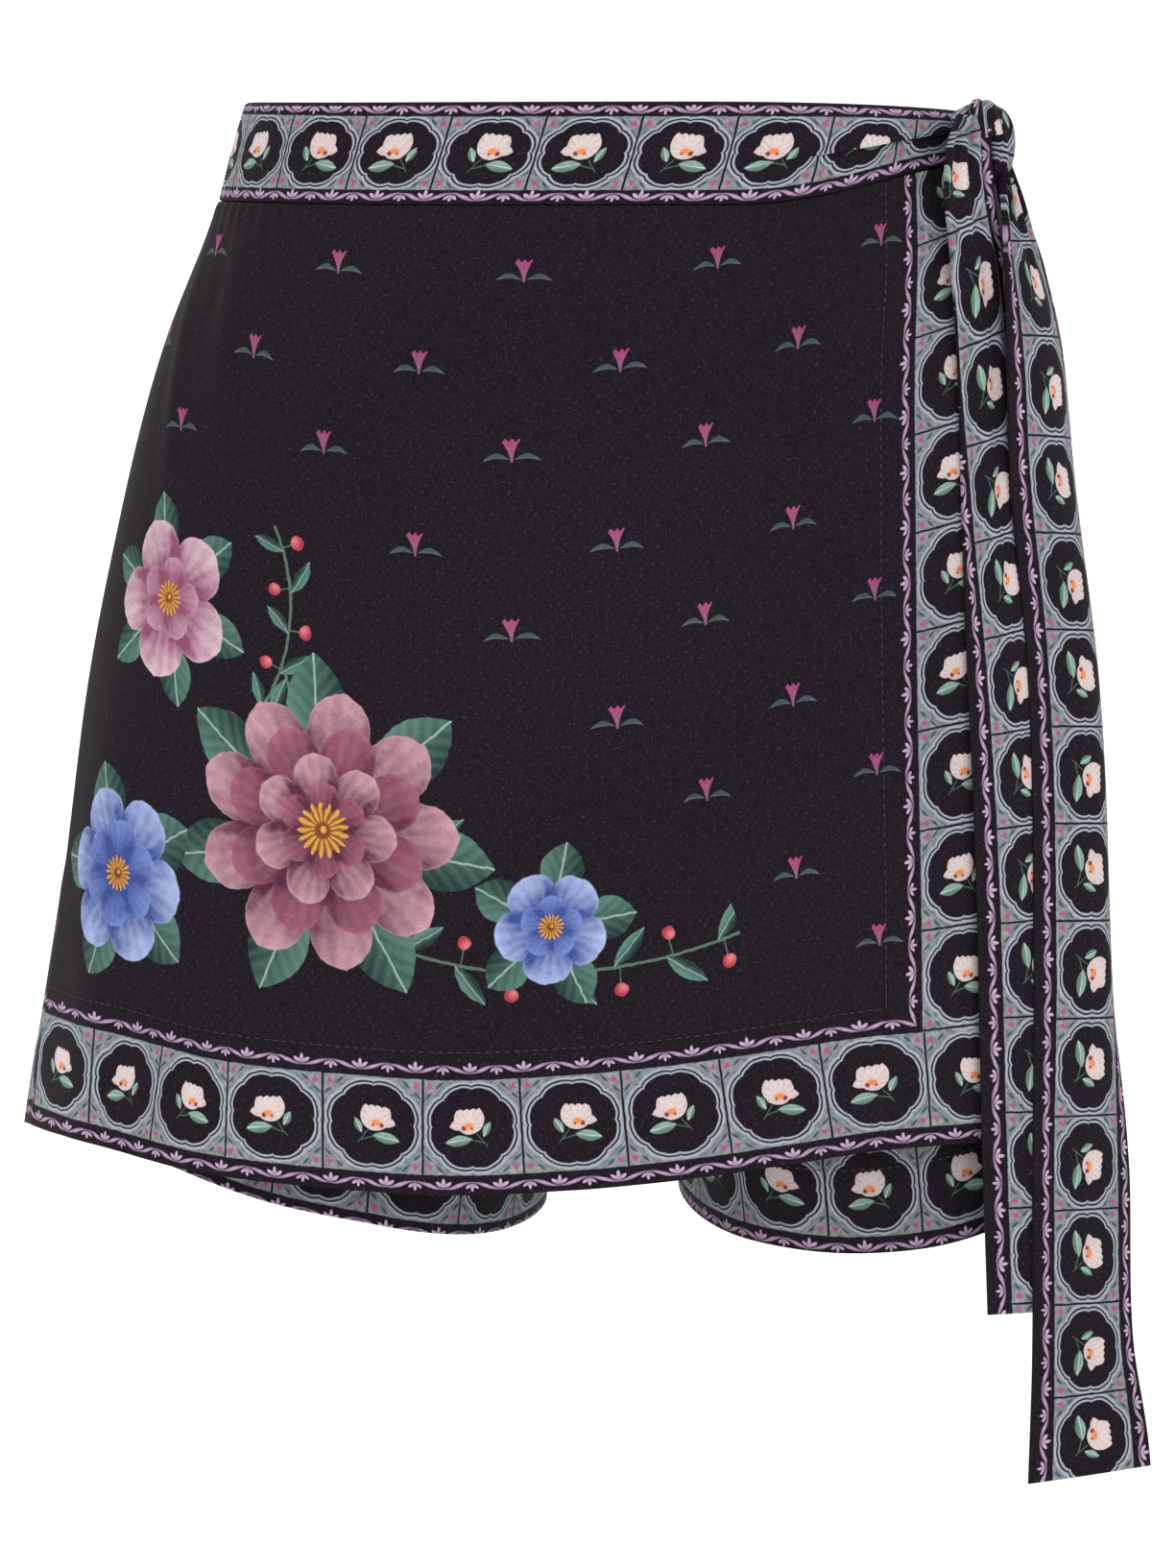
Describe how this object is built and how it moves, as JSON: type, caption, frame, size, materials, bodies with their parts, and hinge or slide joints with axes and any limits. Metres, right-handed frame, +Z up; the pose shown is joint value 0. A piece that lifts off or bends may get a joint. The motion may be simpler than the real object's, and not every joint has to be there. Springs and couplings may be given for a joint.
{
  "type": "wrap skort",
  "caption": "Short wrap skort, filled out as worn: open-legged shorts under a sewn-in wrap panel, with a waistband tied at the right hip and two hanging ties.",
  "frame": {"origin": "middle of the waist, inside the waistband, level with its top edge at the left side, where the wearer's waist holds it", "axes": "+X to the right as the front is looked at, +Y to the back, so the front faces -Y, and +Z up from the hems to the waist"},
  "size_m": [0.4043, 0.2647, 0.4997],
  "materials": {
    "print_cloth": "matte crepe, near-black ground with a small floral sprig print",
    "border_cloth": "the same matte crepe with a printed border of grey-green tiles"
  },
  "bodies": {
    "root": {"overlay_panel": "print_cloth", "shorts_front_left": "print_cloth", "shorts_front_right": "print_cloth", "shorts_back_left": "print_cloth", "shorts_back_right": "print_cloth", "waistband_front": "border_cloth", "waistband_back": "border_cloth", "tie_short": "border_cloth", "tie_long": "border_cloth", "knot": "border_cloth"}
  },
  "joints": []
}
